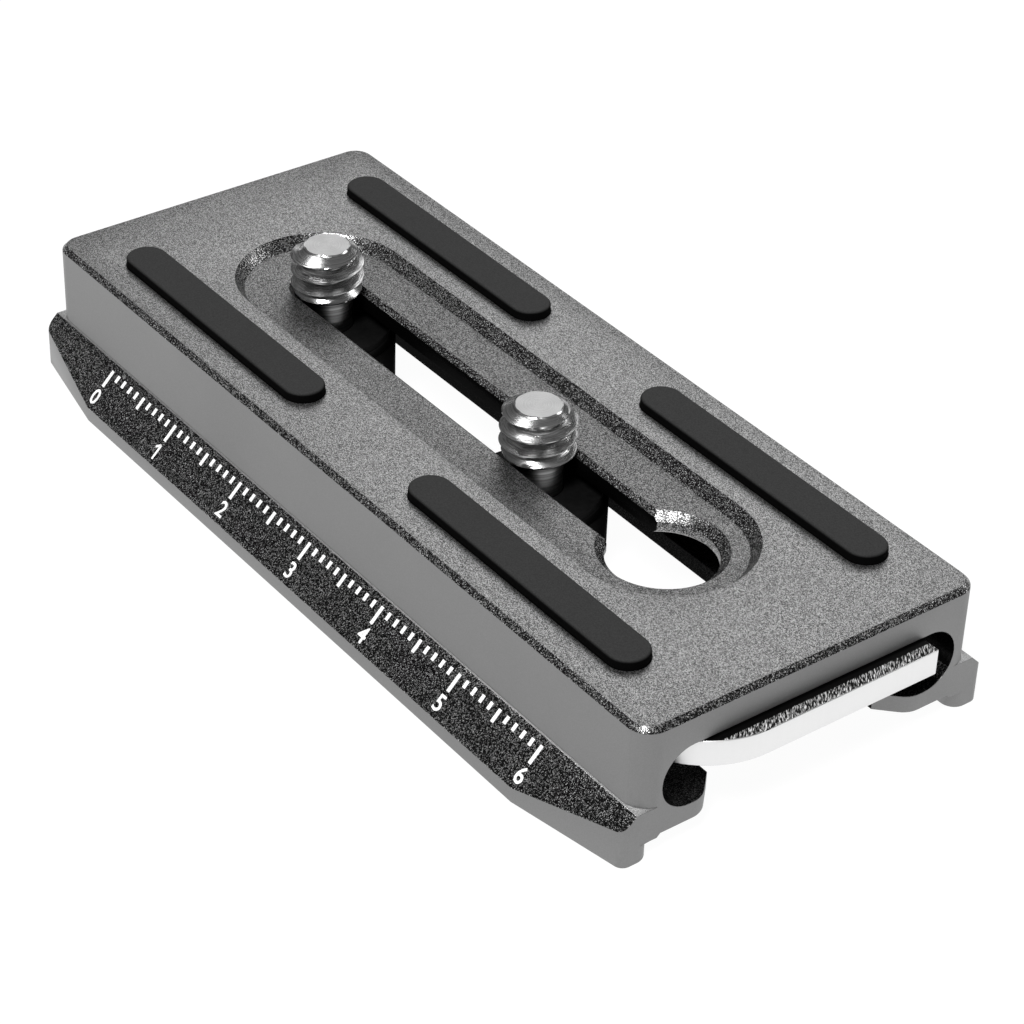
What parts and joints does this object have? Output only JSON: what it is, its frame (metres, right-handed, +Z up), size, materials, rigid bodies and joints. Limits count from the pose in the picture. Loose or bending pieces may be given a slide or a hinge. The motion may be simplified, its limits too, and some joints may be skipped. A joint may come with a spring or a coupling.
{
  "type": "tripod quick release plate",
  "caption": "Dovetail quick release plate with grip strips, captive camera screws in a keyhole slot and a flat key stored in its end.",
  "frame": {"origin": "middle of the dovetail, in the plane of its feet", "axes": "+X along the plate towards the end that holds the key, +Z up towards the camera"},
  "size_m": [0.0822, 0.038, 0.0148],
  "materials": {
    "anodised_aluminium": "bead-blasted and anodised gun-metal grey",
    "grip_rubber": "matt moulded",
    "screw_steel": "turned stainless steel",
    "washer_nylon": "matt",
    "key_steel": "ground spring steel",
    "magnet_plating": "nickel plated"
  },
  "bodies": {
    "plate": {"plate_body": "anodised_aluminium", "pad_left_rear": "grip_rubber", "pad_left_front": "grip_rubber", "pad_right_rear": "grip_rubber", "pad_right_front": "grip_rubber", "key_magnet_left": "magnet_plating", "key_magnet_right": "magnet_plating"},
    "rear_washer": {"rear_washer": "washer_nylon"},
    "rear_screw": {"rear_screw": "screw_steel"},
    "front_washer": {"front_washer": "washer_nylon"},
    "front_screw": {"front_screw": "screw_steel"},
    "key": {"flat_key": "key_steel"}
  },
  "joints": [
    {"name": "rear_slide", "type": "slide", "parent": "plate", "child": "rear_washer", "axis": [1, 0, 0], "range_m": [-0.0007, 0.00875]},
    {"name": "rear_turn", "type": "hinge", "parent": "rear_washer", "child": "rear_screw", "pos_m": [-0.0221, 0, 0], "axis": [0, 0, 1], "continuous": true},
    {"name": "front_slide", "type": "slide", "parent": "plate", "child": "front_washer", "axis": [1, 0, 0], "range_m": [-0.00875, 0.01555]},
    {"name": "front_turn", "type": "hinge", "parent": "front_washer", "child": "front_screw", "pos_m": [0.00725, 0, 0], "axis": [0, 0, 1], "continuous": true},
    {"name": "key_slide", "type": "slide", "parent": "plate", "child": "key", "axis": [1, 0, 0], "range_m": [0, 0.0115]}
  ]
}
